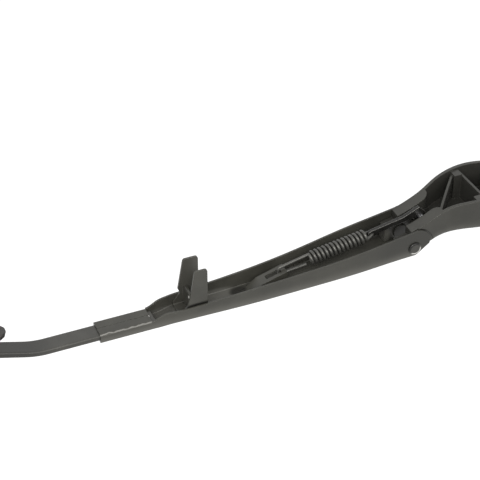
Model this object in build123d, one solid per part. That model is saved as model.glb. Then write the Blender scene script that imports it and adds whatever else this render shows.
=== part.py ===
from build123d import *
from math import acos, atan2, cos, degrees, hypot, radians, sin
import os

# Car windscreen wiper arm, seen with its underside up.
# Frame: origin on the spindle axis at the small end of the taper seat, +Z out of the seat
# towards the car, the arm reaching along -X, the hinge axis along Y.

# Hinge
hinge_reach = 66.0          # spindle axis to hinge axis
hinge_drop = 13.7           # hinge axis below the origin
rivet_shank_r = 3.5
rivet_neck_r = 2.6
rivet_head_r = 4.3
rivet_head_t = 1.3
rivet_head_round = 0.9
rivet_collar_r = 5.0
rivet_collar_t = 1.2
collar_gap = 0.2
bush_wall = 1.0
running_gap = 0.05          # rivet shank in its bush

# Channel pressed from sheet
sheet = 1.2
channel_length = 206.0      # hinge axis to the sleeve mouth
sleeve_length = 33.0
shoulder_length = 20.0      # from the sleeve up to the open channel
waist_from_hinge = 107.0
middle_from_hinge = 72.0
upper_from_hinge = 37.0
width_hinge = 29.0
width_middle = 24.3
width_waist = 20.5
width_tail = 18.2
width_swell = 16.0          # on the shoulder
swell_ahead = 11.0
parallel_length = 26.0      # full width on the tip side of the hinge
back_below_hinge = 7.0      # outer face of the back under the hinge axis
fall_upper = 2.6            # fall of the back from the hinge to each place
fall_middle = 5.7
fall_waist = 7.9
fall_tail = 8.1
fall_sleeve = 9.75
bend_radius = 1.7
rim_tail = 9.0              # rims over the back's tail end
rim_between = 10.3
rim_waist = 12.1
rim_middle = 15.9
rim_upper = 21.3
rim_above_hinge = 12.5
rim_start = 11.0            # sleeve to the end of the rim's first rise
ear_radius = 9.6
ear_rise = 3.5              # centre of the ear's round end over the hinge axis
ear_ahead = 1.2             # and towards the spindle
ear_low = -14.0             # angles at which the round end begins and ends
ear_mid = 35.0
ear_high = 88.0
seam_gap = 0.3
fold_radius = 1.6           # sleeve's upper corners
floor_end = 3.0             # back stops short of the hinge axis

# Rod and hook
rod_width = 12.0
rod_thick = 4.0
rod_edge = 1.5
rod_gap = 0.05
rod_tail = 2.5              # rod end past the sleeve, inside the channel
rod_end_gap = 0.5           # rod end to the rise of the back
bend_ahead = 38.4           # sleeve mouth to the bend
bend_angle = 17.4
rod_bend_radius = 45.0
hook_run = 37.5             # bend to the start of the hook
hook_gap = 9.0
hook_return = 16.0
hook_tip_cut = 4.2

# Spring, its link and pin
pin_ahead = 9.3             # link pin towards the spindle from the hinge
pin_rise = 14.0             # link pin over the hinge axis
pin_r = 2.0
pin_bite = 3.0              # length held in each land
anchor_reach = 85.1         # hinge axis to the hook's seat on the tongue
anchor_drop = 2.3           # seat below the hinge axis
wire = 1.9
wire_hook_r = 2.6           # hook round the tongue
wire_slack = 0.3
hook_end_drop = 0.4         # end of the hook's wire inside the coil's radius
hook_end_short = 2.5        # and short of the coil
coil_od = 9.4
coil_turns = 14.25
coil_start = 38.4           # along the line of pull, from the pin
coil_length = 38.5
link_thick = 2.2
link_gap = 0.2
link_rim = 2.3
link_crest = 6.4            # strap's upper edge over the pin
link_crest_at = -0.6
link_heel = 3.0             # where the crest meets the hook's round
link_heel_at = -3.2
link_top = 3.2              # strap's upper edge over the line of pull
link_top_at = 11.4
link_low = -0.6             # strap's lower edge against the line of pull
link_low_from = 3.0
link_low_to = 26.0
link_eye = 33.5             # pin to the middle of the spring's eye
eye_neck_at = 30.0
eye_rim = 2.6
eye_slack = 0.15            # spring wire in the eye
hook_mouth_turn = -60.0     # which way the link's hook is open

# Tongue pressed up out of the back, with its side walls
tongue_width = 8.6
tongue_slot = 3.4
tongue_bar = 3.0
tongue_length = 27.0
tongue_knee = 9.7           # root to the knee
tongue_bend = 3.5
tongue_root = 3.0           # run along the back before the first bend
tongue_clear = 0.4          # window in the back past the tongue's end

# Two-tab guide in the channel
guide_sheet = 1.2
guide_bend = 2.0
guide_from_mouth = 51.0     # sleeve mouth to the guide's foot
guide_length = 18.5
guide_tab_end = 17.6        # tabs' straight edge from the foot's end
guide_tab_length = 11.6
guide_tab_slant = 3.4
guide_tab_waist = 12.9      # height at which the slant ends
guide_tab_foot = 9.0
guide_tab_spread = 1.4
guide_far_end = 16.9        # the same for the far tab
guide_far_top = 7.2
guide_far_left = 3.4
guide_far_waist = 12.2
guide_far_in = 4.6
guide_height = 34.0
guide_span = 15.2           # over the two tabs
guide_lip = 3.2
guide_heel = 4.6
guide_heel_top = 7.0
guide_corner = 1.8
guide_web_height = 16.5
guide_web_crown = 3.6
guide_web_in = 0.6
guide_seat = 0.05

# Die-cast head
head_wall = 2.3
neck_width = 27.4
neck_ahead = 14.0           # end of the neck from the hinge axis
flare_low_ahead = 29.0
flare_low_width = 33.6
flare_high_ahead = 43.0
flare_high_width = 40.6
crown_ahead = 56.0
head_width = 42.8
head_tail = 20.5            # spindle axis to the round end
head_over = 5.0             # side view runs on past the round end
head_round = 3.2
neck_sag = 6.2              # neck's outer face under the head's back
neck_flat_ahead = 38.0
neck_lean = 26.0
land_gap = 0.4              # head's lands to the ears
land_step = 2.5             # lands' full height starts here, before the hinge axis
land_step_z = 12.2
nose_step_z = 6.6
nose_tip_z = 4.7
nose_length = 11.0          # lands past the hinge axis, into the channel
nose_gap = 0.3              # lands to the channel's back
land_round = 5.0
knuckle_r = 5.3
ear_gap = 0.6               # head's shoulder round the ears
slot_width = 11.0
slot_through = 9.0          # slot open right through, to here from the hinge axis
pocket_start = 19.5         # hinge axis to the open pocket
rim_height = 14.8           # rim over the origin, at the crown
rim_at_4 = 14.6             # rim over the hinge axis, at 4 and 13 ahead of it
rim_at_13 = 18.9
rim_at_25 = 25.3
rim_at_36 = 27.9
rim_at_spindle = 14.0
rim_at_end = 12.6
rib_thick = 1.6
rib_below_rim = 2.4
rib_a_far = 42.2            # ribs' ends along the arm from the hinge axis
rib_a_near = 17.8
rib_a_near_y = 11.2
rib_b_far = 46.8
rib_b_near = 47.9
pad_ahead = 43.7
pad_long = 5.5
pad_wide = 6.0
pad_in = 3.0
boss_r = 10.5
boss_top = 12.0             # boss face over the origin
seat_small_r = 5.5          # taper seat at the origin
seat_large_r = 6.2
seat_length = 9.0
seat_relief_r = 7.0
stud_hole_r = 4.2
stud_hole_length = 5.5
nut_recess_r = 9.0
nut_recess_depth = 1.5

hinge_x = -hinge_reach
hinge_z = -hinge_drop
mouth_x = hinge_x - channel_length
sleeve_end_x = mouth_x + sleeve_length
shoulder_x = sleeve_end_x + shoulder_length
waist_x = hinge_x - waist_from_hinge
middle_x = hinge_x - middle_from_hinge
upper_x = hinge_x - upper_from_hinge
back_hinge_z = hinge_z - back_below_hinge
back_tail_z = back_hinge_z - fall_tail
back_sleeve_z = back_hinge_z - fall_sleeve
width_sleeve = rod_width + 2 * rod_gap + 2 * sheet
sleeve_height = rod_thick + 2 * sheet + 2 * rod_gap
sleeve_top_z = back_sleeve_z + sleeve_height
ear_in = width_hinge / 2 - sheet
ear_out = width_hinge / 2
land_out = ear_in - land_gap
land_in = slot_width / 2


def xz(x, z):
    return Vector(x, 0, z)


def sheet_face(edges):
    return make_face(Wire(edges))


def across(face, width):
    return extrude(face, amount=width / 2, dir=(0, 1, 0), both=True)


def upright(face, low, high):
    return Pos(0, 0, low) * extrude(face, amount=high - low, dir=(0, 0, 1))


def pin_between(x, z, r, y0, y1):
    rod = Cylinder(r, y1 - y0, rotation=(90, 0, 0))
    return Pos(x, (y0 + y1) / 2, z) * rod


# Outline of the channel from above, drawn in by the given inset
def channel_plan(inset, right_x):
    widths = (width_sleeve, width_tail, width_waist, width_middle, width_hinge)
    half = [w / 2 - inset for w in widths]
    full_x = hinge_x - parallel_length

    def side(s):
        p_sleeve = Vector(sleeve_end_x, s * half[0])
        p_tail = Vector(shoulder_x, s * half[1])
        p_waist = Vector(waist_x, s * half[2])
        p_middle = Vector(middle_x, s * half[3])
        p_full = Vector(full_x, s * half[4])
        p_right = Vector(right_x, s * half[4])
        lead = (1, s * 0.02, 0)
        p_swell = Vector(sleeve_end_x + swell_ahead, s * (width_swell / 2 - inset))
        swell = Spline(p_sleeve, p_swell, p_tail, tangents=[(1, 0, 0), lead])
        flare = Spline(p_tail, p_waist, p_middle, p_full, tangents=[lead, (1, 0, 0)])
        return [swell, flare, Line(p_full, p_right)]

    a = side(1)
    b = side(-1)
    return sheet_face(a + b + [Line(a[0] @ 0, b[0] @ 0), Line(a[2] @ 1, b[2] @ 1)])


def back_curve(lift):
    step_x = sleeve_end_x + rod_tail + rod_end_gap

    def back(x, fall):
        return xz(x, back_hinge_z - fall + lift)

    bow = Spline(
        back(shoulder_x, fall_tail), back(waist_x, fall_waist), back(middle_x, fall_middle),
        back(upper_x, fall_upper), back(hinge_x, 0), tangents=[(1, 0, 0), (1, 0, 0.04)])
    step = Spline(back(step_x, fall_sleeve), bow @ 0, tangents=[(1, 0, 0), (1, 0, 0)])
    return Line(back(sleeve_end_x, fall_sleeve), step @ 0), step, bow


def rim_curve():
    def rim_at(x, height):
        return xz(x, back_tail_z + height)

    first = rim_at(sleeve_end_x + rim_start, rim_tail - 0.2)
    rise = Spline(xz(sleeve_end_x, sleeve_top_z), first, tangents=[(1, 0, 0.15), (1, 0, 0.02)])
    rim = Spline(
        first, rim_at((waist_x + shoulder_x) / 2, rim_between), rim_at(waist_x, rim_waist),
        rim_at(middle_x, rim_middle), rim_at(upper_x, rim_upper), xz(hinge_x, hinge_z + rim_above_hinge),
        tangents=[(1, 0, 0.02), (1, 0, 0.18)])
    return rise, rim


# Side view of the open channel, from the sleeve's end to the ears' round ends
def channel_side():
    run, step, bow = back_curve(0)
    rise, rim = rim_curve()
    nose = xz(hinge_x + ear_ahead, hinge_z + ear_rise)

    def on_ear(angle):
        return nose + ear_radius * xz(cos(radians(angle)), sin(radians(angle)))

    round_end = ThreePointArc(on_ear(ear_low), on_ear(ear_mid), on_ear(ear_high))
    edges = [
        run, step, bow, Line(bow @ 1, round_end @ 0), round_end, Line(round_end @ 1, rim @ 1), rim, rise,
        Line(rise @ 0, run @ 0),
    ]
    return sheet_face(edges)


def channel_inside():
    run, step, bow = back_curve(sheet)
    far = (bow @ 1) + 40 * (bow % 1)
    high = hinge_z + 60
    edges = [
        run, step, bow, Line(bow @ 1, far), Line(far, xz(far.X, high)),
        Line(xz(far.X, high), xz(sleeve_end_x, high)), Line(xz(sleeve_end_x, high), run @ 0),
    ]
    return sheet_face(edges)


# Height of the back's outer face at a place along the arm
def back_z(x):
    bow = back_curve(0)[2]
    low, high = 0.0, 1.0
    for _ in range(40):
        mid = (low + high) / 2
        if (bow @ mid).X < x:
            low = mid
        else:
            high = mid
    return (bow @ low).Z


# Edges between a downward face and the walls beside it
def long_low_edges(solid, min_y):
    found = []
    for f in solid.faces():
        if f.normal_at(f.center()).Z > -0.85:
            continue
        for e in f.edges():
            run = (e @ 1) - (e @ 0)
            if abs(run.X) > 4 and abs(e.center().Y) > min_y:
                found.append(e)
    return found


def along_x(sketch, x0, x1, z):
    return extrude(Plane(origin=(x0, 0, z), x_dir=(0, 1, 0), z_dir=(1, 0, 0)) * sketch, amount=x1 - x0)


# Channel: a pressed U with rounded bends
right_x = hinge_x + 40
outer = across(channel_side(), 80) & upright(channel_plan(0, right_x), -70, 70)
outer = fillet(long_low_edges(outer, 3), bend_radius)
inner = across(channel_inside(), 80) & upright(channel_plan(sheet, right_x), -70, 70)
inner = fillet(long_low_edges(inner, 3), bend_radius - sheet)
channel = outer - inner
channel -= Pos(hinge_x - floor_end + 20, 0, back_hinge_z) * Box(40, 2 * ear_in, 12)
channel -= pin_between(hinge_x, hinge_z, rivet_neck_r, -40, 40)

# Sleeve folded round the rod, with its seam
sleeve_mid_z = back_sleeve_z + sleeve_height / 2
block = Rectangle(width_sleeve, sleeve_height)
block = fillet(block.vertices().group_by(Axis.Y)[0], bend_radius)
block = fillet(block.vertices().group_by(Axis.Y)[-1], fold_radius)
block -= RectangleRounded(rod_width + 2 * rod_gap, rod_thick + 2 * rod_gap, rod_edge)
block -= Pos(0, sleeve_height / 2) * Rectangle(seam_gap, 2 * sheet)
channel += along_x(block, mouth_x, sleeve_end_x, sleeve_mid_z)

# Tongue raised from the back, slotted for the spring's hook
pin_x = hinge_x + pin_ahead
pin_z = hinge_z + pin_rise
anchor_x = hinge_x - anchor_reach
anchor_z = hinge_z - anchor_drop
bar_x = anchor_x - ((wire_hook_r - wire / 2) ** 2 - sheet ** 2 / 2) ** 0.5 + wire_slack
tip_x = bar_x + tongue_bar
root_x = tip_x - tongue_length
root_z = back_z(root_x) + sheet / 2
knee_x = root_x + tongue_knee
knee_z = root_z + 0.62 * (anchor_z - root_z)
tip_z = anchor_z + (tip_x - anchor_x) * (anchor_z - knee_z) / (anchor_x - knee_x)
start_x = root_x - tongue_root
bends = [(start_x, root_z), (root_x, root_z), (knee_x, knee_z), (tip_x, tip_z)]
spine = Plane.XZ * FilletPolyline(*bends, radius=tongue_bend)
blank = Plane(origin=(start_x, 0, root_z), x_dir=(0, 1, 0), z_dir=(1, 0, 0))
tongue = sweep(blank * Rectangle(tongue_width, sheet), path=spine)
tongue -= Pos(bar_x - 5, 0, knee_z + 3) * Box(10, tongue_slot, 20)
tip_foot = xz(tip_x, back_z(tip_x) + sheet / 2)
wall = sheet_face([*spine.edges(), Line(spine @ 1, tip_foot), Line(tip_foot, spine @ 0)])
window_start = root_x + 0.5
window_end = tip_x + tongue_clear
window = Box(window_end - window_start, tongue_width - 2 * sheet, 6)
channel -= Pos((window_start + window_end) / 2, 0, back_z(knee_x) + sheet / 2) * window
channel += tongue
for s in (-1, 1):
    channel += Pos(0, s * (tongue_width - sheet) / 2, 0) * across(wall, sheet)

# Rod with its bayonet hook
rod_z = sleeve_mid_z
bend_x = mouth_x - bend_ahead
cb = cos(radians(bend_angle))
sb = sin(radians(bend_angle))
tangent_run = rod_bend_radius * (1 - cb) / sb
hook_r = (hook_gap + rod_thick) / 2
rod_start = Vector(sleeve_end_x + rod_tail, rod_z)
bend_in = Vector(bend_x + tangent_run, rod_z)
bend_out = Vector(bend_x - tangent_run * cb, rod_z + tangent_run * sb)
hook_in = Vector(bend_x - hook_run * cb, rod_z + hook_run * sb)
hook_mid = hook_in + hook_r * Vector(sb, cb) + hook_r * Vector(-cb, sb)
hook_out = hook_in + 2 * hook_r * Vector(sb, cb)
hook_tip = hook_out + hook_return * Vector(cb, -sb)
rod_line = [
    Line(rod_start, bend_in), TangentArc(bend_in, bend_out, tangent=(-1, 0)), Line(bend_out, hook_in),
    ThreePointArc(hook_in, hook_mid, hook_out), Line(hook_out, hook_tip),
]
rod_path = Plane.XZ * Wire(rod_line)
rod_plane = Plane(origin=(rod_start.X, 0, rod_z), x_dir=(0, 1, 0), z_dir=(-1, 0, 0))
rod = sweep(rod_plane * RectangleRounded(rod_width, rod_thick, rod_edge), path=rod_path)
tip_plane = Plane(origin=(hook_tip.X, 0, hook_tip.Y), x_dir=(cb, 0, -sb), z_dir=(sb, 0, cb))
corner = Rot(0, 0, 45) * Box(2 ** 0.5 * hook_tip_cut, 2 ** 0.5 * hook_tip_cut, 12)
for s in (-1, 1):
    rod -= tip_plane * (Pos(0, s * rod_width / 2, 0) * corner)

# Guide: a folded clip with two tabs and a cross web
guide_x = mouth_x + guide_from_mouth
floor_z = max(back_z(guide_x), back_z(guide_x + guide_length)) + sheet + guide_seat
trough = Rectangle(guide_span, 2 * guide_height)
trough = fillet(trough.vertices().group_by(Axis.Y)[0], guide_bend)
hollow = Pos(0, guide_sheet) * Rectangle(guide_span - 2 * guide_sheet, 2 * guide_height)
trough -= fillet(hollow.vertices().group_by(Axis.Y)[0], guide_bend - guide_sheet)
tab_left = guide_tab_end - guide_tab_length
tab = Polygon(
    (0, 0), (guide_length, 0), (guide_length, guide_heel), (guide_tab_end, guide_heel_top),
    (guide_tab_end, guide_height), (tab_left + guide_tab_slant, guide_height),
    (tab_left, guide_tab_waist), (tab_left - guide_tab_spread, guide_tab_foot), (0, guide_lip), align=None)
far_tab = Polygon(
    (0, 0), (guide_length, 0), (guide_length, guide_heel), (guide_far_end, guide_heel_top),
    (guide_far_end, guide_height), (guide_far_top, guide_height), (guide_far_left, guide_far_waist),
    (guide_far_in, guide_tab_foot), (0, guide_lip), align=None)
guide = along_x(Pos(0, guide_height) * trough, guide_x, guide_x + guide_length, floor_z)
sides = Part()
for s, face in ((-1, tab), (1, far_tab)):
    face = fillet(face.vertices().group_by(Axis.Y)[-1], guide_corner)
    half = Pos(guide_x, s * guide_span / 2, floor_z) * across(Plane.XZ * face, guide_span)
    sides += half
guide &= sides
web_half = guide_span / 2 - guide_sheet / 2
web_foot = guide_sheet / 2
web_side = guide_web_height - guide_web_crown
web = sheet_face([
    Line((-web_half, web_foot), (web_half, web_foot)),
    Line((web_half, web_foot), (web_half, web_side)),
    ThreePointArc((web_half, web_side), (0, guide_web_height), (-web_half, web_side)),
    Line((-web_half, web_side), (-web_half, web_foot)),
])
web_x = guide_x + tab_left + guide_web_in
guide += along_x(web, web_x, web_x + guide_sheet, floor_z)

# Head: outline from above, and its side view
neck_x = hinge_x + neck_ahead
nose_x = hinge_x - nose_length
pocket_x = hinge_x + pocket_start
back_face_z = -stud_hole_length - nut_recess_depth
lean = radians(neck_lean)
knuckle_out = xz(hinge_x + knuckle_r * sin(lean), hinge_z - knuckle_r * cos(lean))
head_end = head_tail + head_over


def head_plan(inset, left_x):
    end_x = head_tail - inset

    def side(s):
        def out(ahead, width):
            return hinge_x + ahead, s * (width / 2 - inset)

        neck = out(neck_ahead, neck_width)
        flare = Spline(
            neck, out(flare_low_ahead, flare_low_width), out(flare_high_ahead, flare_high_width),
            out(crown_ahead, head_width), (end_x, 0), tangents=[(1, 0, 0), (0, -s, 0)])
        return [Line((left_x, neck[1]), neck), flare]

    a = side(1)
    b = side(-1)
    return sheet_face(a + b + [Line(a[0] @ 0, b[0] @ 0)])


def neck_curve(lift):
    up = xz(0, lift)
    flat = xz(hinge_x + neck_flat_ahead, back_face_z) + up
    sag = xz(neck_x - 1, back_face_z - neck_sag) + up
    curve = Spline(knuckle_out + up, sag, flat, tangents=[(cos(lean), 0, sin(lean)), (1, 0, 0)])
    return curve, Line(flat, xz(head_end, back_face_z) + up)


def head_side():
    def over_hinge(ahead, rise):
        return xz(hinge_x + ahead, hinge_z + rise)

    neck, flat = neck_curve(0)
    rim = Spline(
        over_hinge(-land_step, land_step_z), over_hinge(4, rim_at_4), over_hinge(13, rim_at_13),
        over_hinge(25, rim_at_25), over_hinge(36, rim_at_36), xz(0, rim_at_spindle), xz(head_end, rim_at_end))
    under = over_hinge(0, -knuckle_r)
    step = over_hinge(-land_step, nose_step_z)
    nose_top = over_hinge(-nose_length, nose_tip_z)
    nose = xz(nose_x, back_z(nose_x) + sheet + nose_gap)
    turn = xz(hinge_x + knuckle_r * sin(lean / 2), hinge_z - knuckle_r * cos(lean / 2))
    return sheet_face([
        Line(nose, under), ThreePointArc(under, turn, knuckle_out), neck, flat, Line(flat @ 1, rim @ 1), rim,
        Line(rim @ 0, step), Line(step, nose_top), Line(nose_top, nose),
    ])


def head_hollow():
    neck, flat = neck_curve(head_wall)
    high = rim_height + 30
    start = neck @ 0
    return across(sheet_face([
        neck, flat, Line(flat @ 1, xz(head_end, high)), Line(xz(head_end, high), xz(start.X, high)),
        Line(xz(start.X, high), start),
    ]), 80)


# Pocket and link slot as one outline, round where the lands end
def pocket_plan():
    slot_x = hinge_x + slot_through
    pocket = head_plan(head_wall, nose_x) & Pos(pocket_x + 100, 0) * Rectangle(200, 200)
    lane = Pos((slot_x + pocket_x + 2) / 2, 0) * Rectangle(pocket_x + 2 - slot_x, slot_width)
    plan = pocket + lane
    lands = [v for v in plan.vertices() if abs(v.X - pocket_x) < 0.01 and abs(abs(v.Y) - land_in) < 0.01]
    return fillet(lands, land_round)


head_outer = across(head_side(), 80) & upright(head_plan(0, nose_x), -60, 60)
low_edges = [e for e in long_low_edges(head_outer, 5) if e.center().X > neck_x - 2]
head_outer = fillet(low_edges, head_round)
head = head_outer - (head_hollow() & upright(pocket_plan(), -60, 60))

# Slot for the link, and the room for the channel's ears
head -= Pos(hinge_x + slot_through - 30, 0, 0) * Box(60, slot_width, 120)
ear_room = hypot(ear_ahead, ear_rise) + ear_radius + ear_gap
for s in (-1, 1):
    y0, y1 = sorted((s * land_out, s * 40))
    head -= pin_between(hinge_x, hinge_z, ear_room, y0, y1)
    head -= Pos(hinge_x - 30, (y0 + y1) / 2, hinge_z) * Box(60, y1 - y0, 120)


# Ribs, pads and the spindle boss stand in the pocket, below the rim
def below_rim(solid, depth):
    return solid & head_outer & Pos(0, 0, -depth) * head_outer


def rib(x0, y0, x1, y1):
    turn = degrees(atan2(y1 - y0, x1 - x0))
    bar = Box(hypot(x1 - x0, y1 - y0), rib_thick, 120)
    return Pos((x0 + x1) / 2, (y0 + y1) / 2, 0) * Rot(0, 0, turn) * bar


rib_side = flare_high_width / 2 - head_wall
rib_a = rib(hinge_x + rib_a_far, rib_side - 1, hinge_x + rib_a_near, -rib_a_near_y)
rib_b = rib(hinge_x + rib_b_far, rib_side + 0.5, hinge_x + rib_b_near, -rib_side - 0.5)
head += below_rim(rib_a, rib_below_rim)
head += below_rim(rib_b, rib_below_rim)
for s in (-1, 1):
    pad = Pos(hinge_x + pad_ahead, s * (rib_side - pad_in), 0) * Box(pad_long, pad_wide, 120)
    head += below_rim(pad, rib_below_rim / 2)
head += below_rim(Pos(0, 0, boss_top - 30) * Cylinder(boss_r, 60), 0)
bore = make_face(Plane.XZ * Polyline(
    (0, boss_top + 1), (seat_relief_r, boss_top + 1), (seat_relief_r, seat_length),
    (seat_large_r, seat_length), (seat_small_r, 0), (stud_hole_r, 0), (stud_hole_r, -stud_hole_length),
    (nut_recess_r, -stud_hole_length), (nut_recess_r, back_face_z - 1), (0, back_face_z - 1), close=True))
head -= revolve(bore, axis=Axis.Z)
bush_in = rivet_shank_r + running_gap
bush_out = bush_in + bush_wall
head -= pin_between(hinge_x, hinge_z, bush_out, -land_out - 1, land_out + 1)
pin_half = land_in + pin_bite
head -= pin_between(pin_x, pin_z, pin_r, -pin_half, pin_half)
link_pin = pin_between(pin_x, pin_z, pin_r, -pin_half, pin_half)

# Bushes in the lands, and the two stub rivets that turn in them
shank_in = land_in - collar_gap
collar_in = shank_in - rivet_collar_t
head_top = ear_out + rivet_head_t
round_out = rivet_head_r - rivet_head_round
round_low = head_top - rivet_head_round
stub_side = Polyline(
    (round_out, head_top), (0, head_top), (0, collar_in), (rivet_collar_r, collar_in),
    (rivet_collar_r, shank_in), (rivet_shank_r, shank_in), (rivet_shank_r, ear_in), (rivet_neck_r, ear_in),
    (rivet_neck_r, ear_out), (rivet_head_r, ear_out), (rivet_head_r, round_low))
rim_turn = TangentArc((rivet_head_r, round_low), (round_out, head_top), tangent=(0, 1))
stub = revolve(sheet_face([*stub_side.edges(), rim_turn]), axis=Axis.Y)
rivet_right = Pos(hinge_x, 0, hinge_z) * stub
rivet_left = Pos(hinge_x, 0, hinge_z) * Rot(0, 0, 180) * stub
bush_right = pin_between(hinge_x, hinge_z, bush_out, land_in, land_out)
bush_right -= pin_between(hinge_x, hinge_z, bush_in, land_in, land_out)
bush_left = pin_between(hinge_x, hinge_z, bush_out, -land_out, -land_in)
bush_left -= pin_between(hinge_x, hinge_z, bush_in, -land_out, -land_in)

# Link: a flat hook over the pin, drawn along the line of pull
pull = Vector(anchor_x - pin_x, 0, anchor_z - pin_z)
pull_length = pull.length
pull = pull.normalized()
over = Vector(pull.Z, 0, -pull.X)
link_plane = Plane(origin=(pin_x, 0, pin_z), x_dir=pull, z_dir=(0, 1, 0))
eye_hook_r = link_thick / 2 + wire / 2 + eye_slack
eye_lean = link_thick / 2 / eye_hook_r
eye_sag = eye_hook_r * (1 - (1 - eye_lean ** 2) ** 0.5)
eye_far = eye_sag + wire / 2 / (1 - eye_lean ** 2) ** 0.5
eye_hole_r = (eye_far + wire / 2) / 2 + eye_slack
eye_hole_t = link_eye + (eye_far - wire / 2) / 2
ring_r = pin_r + link_gap + link_rim
strap = Polygon(
    (link_heel_at, link_heel), (link_crest_at, link_crest), (link_top_at, link_top), (eye_hole_t, eye_rim), (eye_hole_t, -eye_rim),
    (eye_neck_at, -eye_rim / 2), (link_low_to, link_low), (link_low_from, link_low), (0, 0), align=None)
link_face = Circle(ring_r) + strap + Pos(eye_hole_t, 0) * Circle(eye_rim)
link_face -= Circle(pin_r + link_gap)
mouth = Pos(ring_r, 0) * Rectangle(2 * ring_r, 2 * (pin_r + link_gap))
link_face -= Rot(0, 0, hook_mouth_turn) * mouth
link_face -= Pos(eye_hole_t, 0) * Circle(eye_hole_r)
link = extrude(link_plane * link_face, amount=link_thick / 2, both=True)

# Spring: open coils with a hook at each end
coil_r = (coil_od - wire) / 2
coil_end = coil_start + coil_length


def on_line(t, n, y):
    return Vector(pin_x, 0, pin_z) + t * pull + n * over + Vector(0, y, 0)


def touch(px, py, cx, cy, r, s):
    far = hypot(px - cx, py - cy)
    turn = atan2(py - cy, px - cx) + s * acos(r / far)
    return cx + r * cos(turn), cy + r * sin(turn)


def wire_run(edges):
    path = Wire(edges)
    start = Plane(origin=path @ 0, z_dir=path % 0)
    return sweep(start * Circle(wire / 2), path=path)


coil_base = Plane(origin=on_line(coil_start, 0, 0), x_dir=(0, -1, 0), z_dir=pull)
helix = coil_base * Helix(pitch=coil_length / coil_turns, height=coil_length, radius=coil_r)
spring = sweep(Plane(origin=helix @ 0, z_dir=helix % 0) * Circle(wire / 2), path=helix, is_frenet=True)

# Hook round the tongue's bar
free_t = coil_end + hook_end_short
free_n = hook_end_drop - coil_r
t1, n1 = touch(coil_end, coil_r, pull_length, 0, wire_hook_r, -1)
t2, n2 = touch(free_t, free_n, pull_length, 0, wire_hook_r, 1)
spring += wire_run([
    Line(on_line(coil_end, coil_r, 0), on_line(t1, n1, 0)),
    ThreePointArc(on_line(t1, n1, 0), on_line(pull_length + wire_hook_r, 0, 0), on_line(t2, n2, 0)),
    Line(on_line(t2, n2, 0), on_line(free_t, free_n, 0)),
])
spring += Pos(*on_line(coil_end, coil_r, 0)) * Sphere(wire / 2)

# Hook through the link's eye
eye_t = link_eye + eye_hook_r
t3, y3 = touch(coil_start, -coil_r, eye_t, 0, eye_hook_r, -1)
spring += wire_run([
    Line(on_line(coil_start, 0, -coil_r), on_line(t3, 0, y3)),
    ThreePointArc(on_line(t3, 0, y3), on_line(link_eye, 0, 0), on_line(eye_t, 0, eye_hook_r)),
    Line(on_line(eye_t, 0, eye_hook_r), on_line(coil_start - 0.6, 0, eye_hook_r)),
])
spring += Pos(*on_line(coil_start, 0, -coil_r)) * Sphere(wire / 2)

os.makedirs("parts", exist_ok=True)
export_step(head, "parts/mounting_head.step")
export_step(channel, "parts/retainer_channel.step")
export_step(rod, "parts/wiper_rod.step")
export_step(guide, "parts/blade_guide.step")
export_step(rivet_left, "parts/hinge_rivet_left.step")
export_step(rivet_right, "parts/hinge_rivet_right.step")
export_step(bush_left, "parts/hinge_bush_left.step")
export_step(bush_right, "parts/hinge_bush_right.step")
export_step(link_pin, "parts/link_pin.step")
export_step(link, "parts/spring_link.step")
export_step(spring, "parts/tension_spring.step")
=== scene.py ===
import bpy
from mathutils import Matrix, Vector


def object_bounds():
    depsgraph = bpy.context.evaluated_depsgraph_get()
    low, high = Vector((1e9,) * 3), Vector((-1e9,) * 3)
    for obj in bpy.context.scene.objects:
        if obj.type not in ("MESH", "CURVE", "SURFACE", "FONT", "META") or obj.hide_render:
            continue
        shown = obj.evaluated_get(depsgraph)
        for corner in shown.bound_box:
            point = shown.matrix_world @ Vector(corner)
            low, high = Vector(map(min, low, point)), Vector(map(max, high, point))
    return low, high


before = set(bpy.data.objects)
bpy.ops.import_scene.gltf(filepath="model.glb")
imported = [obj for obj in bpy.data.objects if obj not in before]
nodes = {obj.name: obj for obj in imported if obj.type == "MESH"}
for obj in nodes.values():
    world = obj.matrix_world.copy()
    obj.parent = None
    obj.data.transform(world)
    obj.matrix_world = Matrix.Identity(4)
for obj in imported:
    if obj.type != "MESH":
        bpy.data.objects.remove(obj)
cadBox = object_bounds()
bpy.ops.object.select_all(action="DESELECT")
print("frame loaded:", len(nodes), "CAD pieces")


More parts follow.
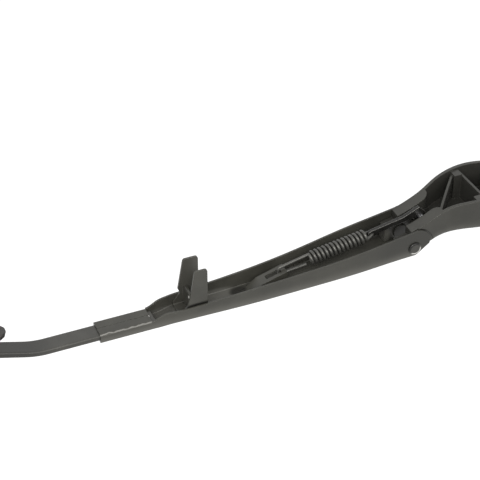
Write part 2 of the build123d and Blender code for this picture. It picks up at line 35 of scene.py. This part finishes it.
# One shader socket with arithmetic, plus a way to add any other node
class Tap:
    def __init__(self, tree, socket=None):
        self.tree = tree
        self.socket = socket

    def add(self, kind, settings=None, sockets=None, out=0):
        node = self.tree.nodes.new(kind)
        for name, value in (settings or {}).items():
            setattr(node, name, value)
        for name, value in (sockets or {}).items():
            if isinstance(value, Tap):
                self.tree.links.new(value.socket, node.inputs[name])
            else:
                node.inputs[name].default_value = value
        return Tap(self.tree, node.outputs[out] if node.outputs else None)

    def maths(self, operation, *terms):
        return self.add("ShaderNodeMath", {"operation": operation}, dict(enumerate(terms)))

    def __add__(self, other):
        return self.maths("ADD", self, other)

    def __radd__(self, other):
        return self.maths("ADD", other, self)

    def __sub__(self, other):
        return self.maths("SUBTRACT", self, other)

    def __rsub__(self, other):
        return self.maths("SUBTRACT", other, self)

    def __mul__(self, other):
        return self.maths("MULTIPLY", self, other)

    def __rmul__(self, other):
        return self.maths("MULTIPLY", other, self)

    def __abs__(self):
        return self.maths("ABSOLUTE", self)

    def root(self):
        return self.maths("SQRT", self)

    def between(self, low, high):   # 0 at low, 1 at high, smooth
        settings = {"interpolation_type": "SMOOTHSTEP"}
        return self.add("ShaderNodeMapRange", settings, {"Value": self, "From Min": low, "From Max": high})

    def tint(self, dark, light):    # colour from dark at 0 to light at 1, a Mix node's sockets 6 and 7
        return self.add("ShaderNodeMix", {"data_type": "RGBA"}, {0: self, 6: dark, 7: light}, out=2)


def newMaterial(name):
    material = bpy.data.materials.new(name)
    material.use_nodes = True
    material.node_tree.nodes.clear()
    return material, Tap(material.node_tree)


def closeMaterial(sheet, shader):
    sheet.add("ShaderNodeOutputMaterial", None, {"Surface": shader})


def dress(name, material):
    nodes[name].data.materials.clear()
    nodes[name].data.materials.append(material)


noiseMiddle = 0.5
noiseSpan = (0.3, 0.7)              # most of a noise's values lie in here
edgeTurn = {"samples": 6, "span": (0.02, 0.25)}
blotCore = 0.5                      # share of a blot's reach that it covers fully


def noise(sheet, place, scale, detail, rough):
    sockets = {"Vector": place, "Scale": scale, "Detail": detail, "Roughness": rough}
    return sheet.add("ShaderNodeTexNoise", None, sockets)


# Edge test: how far the rounded normal turns from the flat one
def edgeMask(sheet, width):
    rounded = sheet.add("ShaderNodeBevel", {"samples": edgeTurn["samples"]}, {"Radius": width})
    flat = sheet.add("ShaderNodeNewGeometry", out="Normal")
    turn = sheet.add("ShaderNodeVectorMath", {"operation": "DOT_PRODUCT"}, {0: rounded, 1: flat}, out="Value")
    return rounded, (1 - turn).between(*edgeTurn["span"])


# Soft-edged spot round a place, 1 at its core and 0 beyond its three reaches
def blot(sheet, place, centre, reach):
    shifted = sheet.add("ShaderNodeVectorMath", {"operation": "SUBTRACT"}, {0: place, 1: centre})
    scaled = sheet.add("ShaderNodeVectorMath", {"operation": "DIVIDE"}, {0: shifted, 1: reach})
    far = sheet.add("ShaderNodeVectorMath", {"operation": "LENGTH"}, {0: scaled}, out="Value")
    return 1 - far.between(blotCore, 1.0)


def axes(sheet, vector):
    parts = sheet.add("ShaderNodeSeparateXYZ", None, {"Vector": vector}).socket.node
    return [Tap(sheet.tree, part) for part in parts.outputs]


# Satin black coat: orange peel, slow colour drift, rubbed edges lightened also as a painted edge highlight,
# painted shade in deep recesses, local marks
satinCoat = {
    # The head's recess colour is painted shade over its deep pocket
    "mounting_head": {"dark": (0.039, 0.0384, 0.0336, 1), "light": (0.053, 0.052, 0.0455, 1),
                      "edge": (0.072, 0.0705, 0.062, 1), "recessShade": (0.038, 0.0374, 0.034, 1),
                      "depth": 0.06, "shut": 0.40, "open": 0.90, "edgeWidth": 0.0006,
                      "rough": 0.36, "peelScale": 1500, "grainScale": 4200, "bump": 0.07},
    "retainer_channel": {"dark": (0.046, 0.0452, 0.039, 1), "light": (0.064, 0.063, 0.054, 1),
                         "edge": (0.066, 0.065, 0.057, 1), "edgeWidth": 0.0005,
                         "rough": 0.31, "peelScale": 1100, "grainScale": 5200, "bump": 0.05},
    "wiper_rod": {"dark": (0.051, 0.0502, 0.046, 1), "light": (0.073, 0.0718, 0.066, 1),
                  "edge": (0.095, 0.093, 0.085, 1), "edgeWidth": 0.0005,
                  "rough": 0.30, "peelScale": 900, "grainScale": 3600, "bump": 0.06},
    # The guide's light edge colour is a painted highlight along its sheet edges
    "blade_guide": {"dark": (0.048, 0.0472, 0.041, 1), "light": (0.066, 0.065, 0.056, 1),
                    # The guide's recess colour is painted shade in its tight corners
                    "edge": (0.150, 0.147, 0.132, 1), "recessShade": (0.010, 0.0098, 0.009, 1),
                    "depth": 0.003, "shut": 0.20, "open": 0.55, "edgeWidth": 0.0004,
                    "rough": 0.32, "peelScale": 1300, "grainScale": 5200, "bump": 0.05},
}

# What the four coats share: noise scales, and each layer's share of colour, roughness and height
coatGrain = {"driftScale": 42.0, "rubAndSheenScale": 260.0, "rubAndSheenLeast": 0.35, "rubAndSheenShare": 0.8,
             "specks": (0.70, 0.78), "speckShare": 0.25, "recessSamples": 8,
             "driftRough": 0.10, "peelRough": 0.08, "rubRough": 0.08,
             "peelShare": 0.9, "bumpHeight": 0.00006, "ior": 1.48}

# Marks on the coat, laid on in this order: painted shade, painted light and painted glints, and a darker hook
# end on the rod
coatMarks = {
    "mounting_head": {
        # Painted shade darkening the lit post in the head's pocket
        "postShade": {"centre": (-0.0223, 0.0118, 0.0030), "reach": (0.0060, 0.0035, 0.0095),
                      "colour": (0.036, 0.0354, 0.032, 1)},
        # Painted light lifting the shaded gap beside the head's nose
        "noseLight": {"centre": (-0.0765, 0.0080, -0.0150), "reach": (0.0050, 0.0060, 0.0090),
                     "colour": (0.105, 0.103, 0.094, 1)},
    },
    "retainer_channel": {
        # Painted light on the channel's floor either side of the guide, where light falls into the shallow
        # channel
        "floorLightHeadSide": {"centre": (-0.193, 0.004, -0.0275), "reach": (0.017, 0.012, 0.004),
                          "colour": (0.125, 0.1235, 0.114, 1)},
        "floorLightRodSide": {"centre": (-0.229, 0.002, -0.0285), "reach": (0.013, 0.009, 0.004),
                         "colour": (0.085, 0.084, 0.077, 1)},
        # Painted shade at the foot of the tongue
        "shadeBeforeTongue": {"centre": (-0.1785, 0.0040, -0.0271), "reach": (0.0080, 0.0060, 0.003),
                              "colour": (0.024, 0.0235, 0.021, 1)},
        # Painted shade darkening the ears' outer walls
        "shadeNearEar": {"centre": (-0.066, -0.0145, -0.012), "reach": (0.034, 0.006, 0.026),
                        "colour": (0.037, 0.0365, 0.032, 1)},
        "shadeFarEar": {"centre": (-0.066, 0.0145, -0.012), "reach": (0.034, 0.006, 0.026),
                       "colour": (0.037, 0.0365, 0.032, 1)},
        # A painted glint: a tiny white spot at the sleeve's end
        "glint": {"centre": (-0.2388, -0.0009, -0.0240), "reach": (0.0009, 0.0009, 0.0009),
                 "colour": (0.80, 0.79, 0.76, 1)},
    },
    "wiper_rod": {
        # Darker over the rod's hook end
        "darkerHook": {"centre": (-0.345, 0.0, -0.018), "reach": (0.055, 0.030, 0.030),
                     "colour": (0.031, 0.0307, 0.0285, 1)},
    },
    "blade_guide": {
        # Painted light on the guide's far tab, lifting the shade the near tab casts on it
        "farTabLight": {"centre": (-0.2105, 0.0064, -0.004), "reach": (0.016, 0.0040, 0.022),
                       "colour": (0.074, 0.0728, 0.065, 1)},
        # A painted glint: a tiny white spot on the guide
        "glint": {"centre": (-0.2144, -0.0040, -0.0147), "reach": (0.0013, 0.0013, 0.0013),
                 "colour": (0.90, 0.89, 0.86, 1)},
        # Painted shadow below the guide's near tab
        "shadowBelowNearTab": {"centre": (-0.2105, -0.0078, -0.0195), "reach": (0.0130, 0.0030, 0.0021),
                              "colour": (0.012, 0.0118, 0.011, 1)},
    },
}

# Painted light on the outer sides, just above the line of the back, standing for the white floor's
# reflection; the back is given as (x, z) towards the hook
lowFloorLight = {
    "retainer_channel": {"back": ((-0.066, -0.0207), (-0.103, -0.0233), (-0.138, -0.0264), (-0.173, -0.0286),
                                  (-0.262, -0.0305)),
                         "height": 0.0105, "outwards": 0.002, "colour": (0.130, 0.128, 0.117, 1)},
    "mounting_head": {"back": ((-0.034, -0.0066), (-0.041, -0.0077), (-0.047, -0.0099), (-0.059, -0.0159)),
                      "height": 0.009, "outwards": 0.002, "colour": (0.100, 0.0985, 0.090, 1)},
}

# Painted highlight along the fold of the channel's sleeve
foldHighlight = {"end": -0.2385, "endFade": 0.002, "y": -0.0068, "z": -0.0244, "reach": 0.002, "reachFade": 0.0005,
            "inwards": 0.0005, "half": 0.0003, "fade": 0.0004, "sway": 0.004, "waves": 170.0,
            "gaps": (0.2, 0.55), "colour": (0.26, 0.257, 0.244, 1)}


def lowFloorLightMask(sheet, place, lowLight):
    x, y, z = axes(sheet, place)
    back = lowLight["back"]
    low = back[0][1]
    for (x0, z0), (x1, z1) in zip(back, back[1:]):
        low = low + (z1 - z0) * x.between(x0, x1)
    near = 1 - (z - low).between(0.0, lowLight["height"])
    flat = axes(sheet, sheet.add("ShaderNodeNewGeometry", out="Normal"))
    return near * near * (flat[1] * y).between(0.0, lowLight["outwards"])


# The painted highlight's line wanders over the fold, measured inwards on the sleeve's top and downwards on
# its side
def foldHighlightMask(sheet, place):
    x, y, z = axes(sheet, place)
    along = sheet.add("ShaderNodeCombineXYZ", None, {"X": x})
    wave = noise(sheet, along, foldHighlight["waves"], detail=1.0, rough=0.5)
    middle = foldHighlight["inwards"] + foldHighlight["sway"] * (wave - noiseMiddle)
    off = (y - foldHighlight["y"]) + (z - foldHighlight["z"]) - middle
    line = 1 - (off * off).between(foldHighlight["half"] ** 2, (foldHighlight["half"] + foldHighlight["fade"]) ** 2)
    lowest = foldHighlight["z"] - foldHighlight["reach"]
    upper = z.between(lowest - foldHighlight["reachFade"], lowest)
    beyond = x.between(foldHighlight["end"] - foldHighlight["endFade"], foldHighlight["end"])
    return line * upper * wave.between(*foldHighlight["gaps"]) * (1 - beyond)


def coatMaterial(name, look):
    material, sheet = newMaterial("coat_" + name)
    place = sheet.add("ShaderNodeTexCoord", out="Object")
    drift = noise(sheet, place, coatGrain["driftScale"], detail=4.0, rough=0.6)
    peel = noise(sheet, place, look["peelScale"], detail=2.0, rough=0.45)
    grain = noise(sheet, place, look["grainScale"], detail=1.0, rough=0.5)
    patches = noise(sheet, place, coatGrain["rubAndSheenScale"], detail=3.0, rough=0.6)
    # Edges lightened where rubbed, and also as a painted edge highlight
    rounded, edge = edgeMask(sheet, look["edgeWidth"])
    rubAndSheen = edge * (coatGrain["rubAndSheenLeast"] + (1 - coatGrain["rubAndSheenLeast"]) * patches)
    ground = drift.between(*noiseSpan).tint(look["dark"], look["light"])
    # Painted shade: darker where an occlusion test finds the surface shut in
    if "recessShade" in look:
        settings = {"samples": coatGrain["recessSamples"]}
        openness = sheet.add("ShaderNodeAmbientOcclusion", settings, {"Distance": look["depth"]}, out="AO")
        ground = openness.between(look["shut"], look["open"]).tint(look["recessShade"], ground)
    for mark in coatMarks[name].values():
        ground = blot(sheet, place, mark["centre"], mark["reach"]).tint(ground, mark["colour"])
    # Painted light low on the outer sides
    if name in lowFloorLight:
        ground = lowFloorLightMask(sheet, place, lowFloorLight[name]).tint(ground, lowFloorLight[name]["colour"])
    # Painted highlight along the sleeve's fold
    if name == "retainer_channel":
        ground = foldHighlightMask(sheet, place).tint(ground, foldHighlight["colour"])
    specks = grain.between(*coatGrain["specks"])
    dusty = (specks * coatGrain["speckShare"]).tint(ground, look["edge"])
    colour = (rubAndSheen * coatGrain["rubAndSheenShare"]).tint(dusty, look["edge"])
    uneven = coatGrain["driftRough"] * (drift - noiseMiddle) + coatGrain["peelRough"] * (peel - noiseMiddle)
    rough = look["rough"] + uneven - coatGrain["rubRough"] * rubAndSheen
    height = coatGrain["peelShare"] * peel + (1 - coatGrain["peelShare"]) * grain
    normal = sheet.add("ShaderNodeBump", None,
                       {"Strength": look["bump"], "Distance": coatGrain["bumpHeight"],
                        "Height": height, "Normal": rounded})
    shader = sheet.add("ShaderNodeBsdfPrincipled", None,
                       {"Base Color": colour, "Roughness": rough, "Normal": normal, "IOR": coatGrain["ior"]})
    closeMaterial(sheet, shader)
    return material


for name, look in satinCoat.items():
    dress(name, coatMaterial(name, look))
print("satin coat on", ", ".join(satinCoat))


# Bare, phosphated and painted metal: drawing lines, darker blotches, edges in their own colour, on the link a
# painted highlight
bushBronze = {"dark": (0.26, 0.17, 0.075, 1), "light": (0.44, 0.30, 0.14, 1),
              "edge": (0.52, 0.36, 0.18, 1), "edgeWidth": 0.0002,
              "metal": 1.0, "rough": 0.42, "stretch": (1, 1, 1)}
rivetPaint = {"dark": (0.046, 0.0453, 0.041, 1), "light": (0.064, 0.063, 0.057, 1),
              "edge": (0.050, 0.049, 0.045, 1), "edgeWidth": 0.0004,
              "metal": 0.10, "rough": 0.36, "stretch": (1, 1, 1)}
metalFinish = {
    "link_pin": {"dark": (0.28, 0.28, 0.29, 1), "light": (0.42, 0.42, 0.43, 1),
                 "edge": (0.50, 0.50, 0.49, 1), "edgeWidth": 0.0003,
                 "metal": 1.0, "rough": 0.32, "stretch": (1, 0.1, 1)},
    # The link's bright edge colour is a painted highlight along both edges of its strap
    "spring_link": {"dark": (0.014, 0.0138, 0.013, 1), "light": (0.030, 0.0295, 0.028, 1),
                    "edge": (0.34, 0.335, 0.32, 1), "edgeWidth": 0.0007,
                    "metal": 0.30, "rough": 0.34, "stretch": (0.12, 1, 1)},
    "tension_spring": {"dark": (0.075, 0.0745, 0.069, 1), "light": (0.130, 0.129, 0.120, 1),
                       "edge": (0.14, 0.139, 0.130, 1), "edgeWidth": 0.0002,
                       "metal": 0.45, "rough": 0.34, "stretch": (1, 0.25, 0.25)},
    "hinge_bush_left": bushBronze,
    "hinge_bush_right": bushBronze,
    "hinge_rivet_left": rivetPaint,
    "hinge_rivet_right": rivetPaint,
}

# What the metals share: noise scales, and each layer's share of colour, roughness and height
metalGrain = {"lineScale": 3200.0, "blotchScale": 240.0, "blotchShare": 0.55, "edgeShare": 0.8,
              "blotchRough": 0.16, "lineRough": 0.12, "bump": 0.18, "bumpHeight": 0.00004, "ior": 1.5}

# Rivet rims: painted shade over the upper side and over the rivet's inner side, a painted glint of bright
# metal below, on the side towards the head
rivetRim = {"x": -0.066, "z": -0.0137, "span": (0.0028, 0.0034), "outside": (0.0131, 0.0133),
            "lean": (0.50, -0.87), "rimShadeSpan": (-0.0022, 0.0006), "rimGlintSpan": (0.0004, 0.0020),
            "insideShade": 0.8,
            "rimShade": (0.008, 0.0078, 0.007, 1), "rimGlint": (0.80, 0.79, 0.76, 1)}


def rimMasks(sheet, place):
    x, y, z = axes(sheet, place)
    right = x - rivetRim["x"]
    up = z - rivetRim["z"]
    rim = (right * right + up * up).root().between(*rivetRim["span"])
    side = right * rivetRim["lean"][0] + up * rivetRim["lean"][1]
    outside = abs(y).between(*rivetRim["outside"])
    upper = rim * (1 - side.between(*rivetRim["rimShadeSpan"]))
    rimShade = (1 - outside) * rivetRim["insideShade"] + outside * upper
    return rimShade, outside * rim * side.between(*rivetRim["rimGlintSpan"])


def metalMaterial(name, look):
    material, sheet = newMaterial("metal_" + name)
    place = sheet.add("ShaderNodeTexCoord", out="Object")
    drawn = sheet.add("ShaderNodeMapping", None, {"Vector": place, "Scale": look["stretch"]})
    lines = noise(sheet, drawn, metalGrain["lineScale"], detail=3.0, rough=0.6)
    blotch = noise(sheet, place, metalGrain["blotchScale"], detail=4.0, rough=0.6)
    rounded, rubAndSheen = edgeMask(sheet, look["edgeWidth"])
    blend = metalGrain["blotchShare"] * blotch + (1 - metalGrain["blotchShare"]) * lines
    ground = blend.between(*noiseSpan).tint(look["dark"], look["light"])
    colour = (rubAndSheen * metalGrain["edgeShare"]).tint(ground, look["edge"])
    metal = look["metal"]
    # Painted shade and a painted glint of bright metal on the rivets
    if name.startswith("hinge_rivet"):
        rimShade, rimGlint = rimMasks(sheet, place)
        colour = rimGlint.tint(rimShade.tint(colour, rivetRim["rimShade"]), rivetRim["rimGlint"])
        metal = metal + rimGlint * (1.0 - metal)
    uneven = metalGrain["blotchRough"] * (blotch - noiseMiddle)
    rough = look["rough"] + uneven + metalGrain["lineRough"] * (lines - noiseMiddle)
    normal = sheet.add("ShaderNodeBump", None,
                       {"Strength": metalGrain["bump"], "Distance": metalGrain["bumpHeight"],
                        "Height": lines, "Normal": rounded})
    shader = sheet.add("ShaderNodeBsdfPrincipled", None,
                       {"Base Color": colour, "Roughness": rough, "Metallic": metal,
                        "Normal": normal, "IOR": metalGrain["ior"]})
    closeMaterial(sheet, shader)
    return material


for name, look in metalFinish.items():
    dress(name, metalMaterial(name, look))
print("metal finishes on", ", ".join(metalFinish))


# Camera at the photograph's place, in metres
photoView = {"place": (-0.4344, -0.6165, 0.5291), "back": (-0.3031, -0.7323, 0.6098),
             "lens": 105.0, "sensor": 36.0, "nearest": 0.01}
bpy.ops.object.camera_add(location=photoView["place"])
camera = bpy.context.object
camera.rotation_euler = (-Vector(photoView["back"])).to_track_quat("-Z", "Y").to_euler()
camera.data.lens = photoView["lens"]
camera.data.sensor_width = photoView["sensor"]
camera.data.clip_start = photoView["nearest"]
bpy.context.scene.camera = camera
bpy.context.scene.view_settings.view_transform = "Standard"
print("camera set")

white = (1, 1, 1, 1)


# Rays that come from the camera, and from a reflection
def shown(sheet):
    return [sheet.add("ShaderNodeLightPath", out=ray) for ray in ("Is Camera Ray", "Is Glossy Ray")]


# Floor, far enough below for the arm at full swing, and clear from underneath
floorPlane = {"side": 6.0, "x": -0.15, "drop": 0.27,
              "grey": (0.45, 0.45, 0.45, 1), "lift": 0.85, "gloss": 0.55}
floorPlace = (floorPlane["x"], 0, cadBox[0][2] - floorPlane["drop"])
bpy.ops.mesh.primitive_plane_add(size=floorPlane["side"], location=floorPlace)
floor = bpy.context.object
floor.name = "studio_floor"
material, sheet = newMaterial("studio_floor")
toCamera, toGloss = shown(sheet)
matte = sheet.add("ShaderNodeBsdfDiffuse", None, {"Color": floorPlane["grey"]})
strength = toCamera * floorPlane["lift"] + toGloss * floorPlane["gloss"]
glow = sheet.add("ShaderNodeEmission", None, {"Color": white, "Strength": strength})
lit = sheet.add("ShaderNodeAddShader", None, {0: matte, 1: glow})
under = sheet.add("ShaderNodeNewGeometry", out="Backfacing")
clear = sheet.add("ShaderNodeBsdfTransparent")
closeMaterial(sheet, sheet.add("ShaderNodeMixShader", None, {0: under, 1: lit, 2: clear}))
floor.data.materials.append(material)

# White tent round the arm: a plain fill, and white to the camera and in reflections
tent = {"fill": 0.45, "white": 1.0}
world = bpy.data.worlds.new("studio")
world.use_nodes = True
world.node_tree.nodes.clear()
room = Tap(world.node_tree)
toCamera, toGloss = shown(room)
strength = tent["fill"] + (toCamera + toGloss) * (tent["white"] - tent["fill"])
sky = room.add("ShaderNodeBackground", None, {"Color": white, "Strength": strength})
room.add("ShaderNodeOutputWorld", None, {"Surface": sky})
bpy.context.scene.world = world

# Key box beside the camera, and a weaker box from the head's side
softBoxes = {
    "key_box": {"place": (-0.52, -0.58, 0.58), "length": 0.60, "width": 0.35, "power": 5.2},
    "side_box": {"place": (0.10, -0.55, 0.50), "length": 0.50, "width": 0.30, "power": 1.4},
}
boxAim = Vector((-0.20, 0, -0.02))
boxWarmth = (1.0, 0.98, 0.92)
for name, box in softBoxes.items():
    bpy.ops.object.light_add(type="AREA", location=box["place"])
    lamp = bpy.context.object
    lamp.name = name
    lamp.data.shape = "RECTANGLE"
    lamp.data.size = box["length"]
    lamp.data.size_y = box["width"]
    lamp.data.energy = box["power"]
    lamp.data.color = boxWarmth
    lamp.visible_camera = False
    lamp.rotation_euler = (boxAim - Vector(box["place"])).to_track_quat("-Z", "Y").to_euler()
print("studio set")
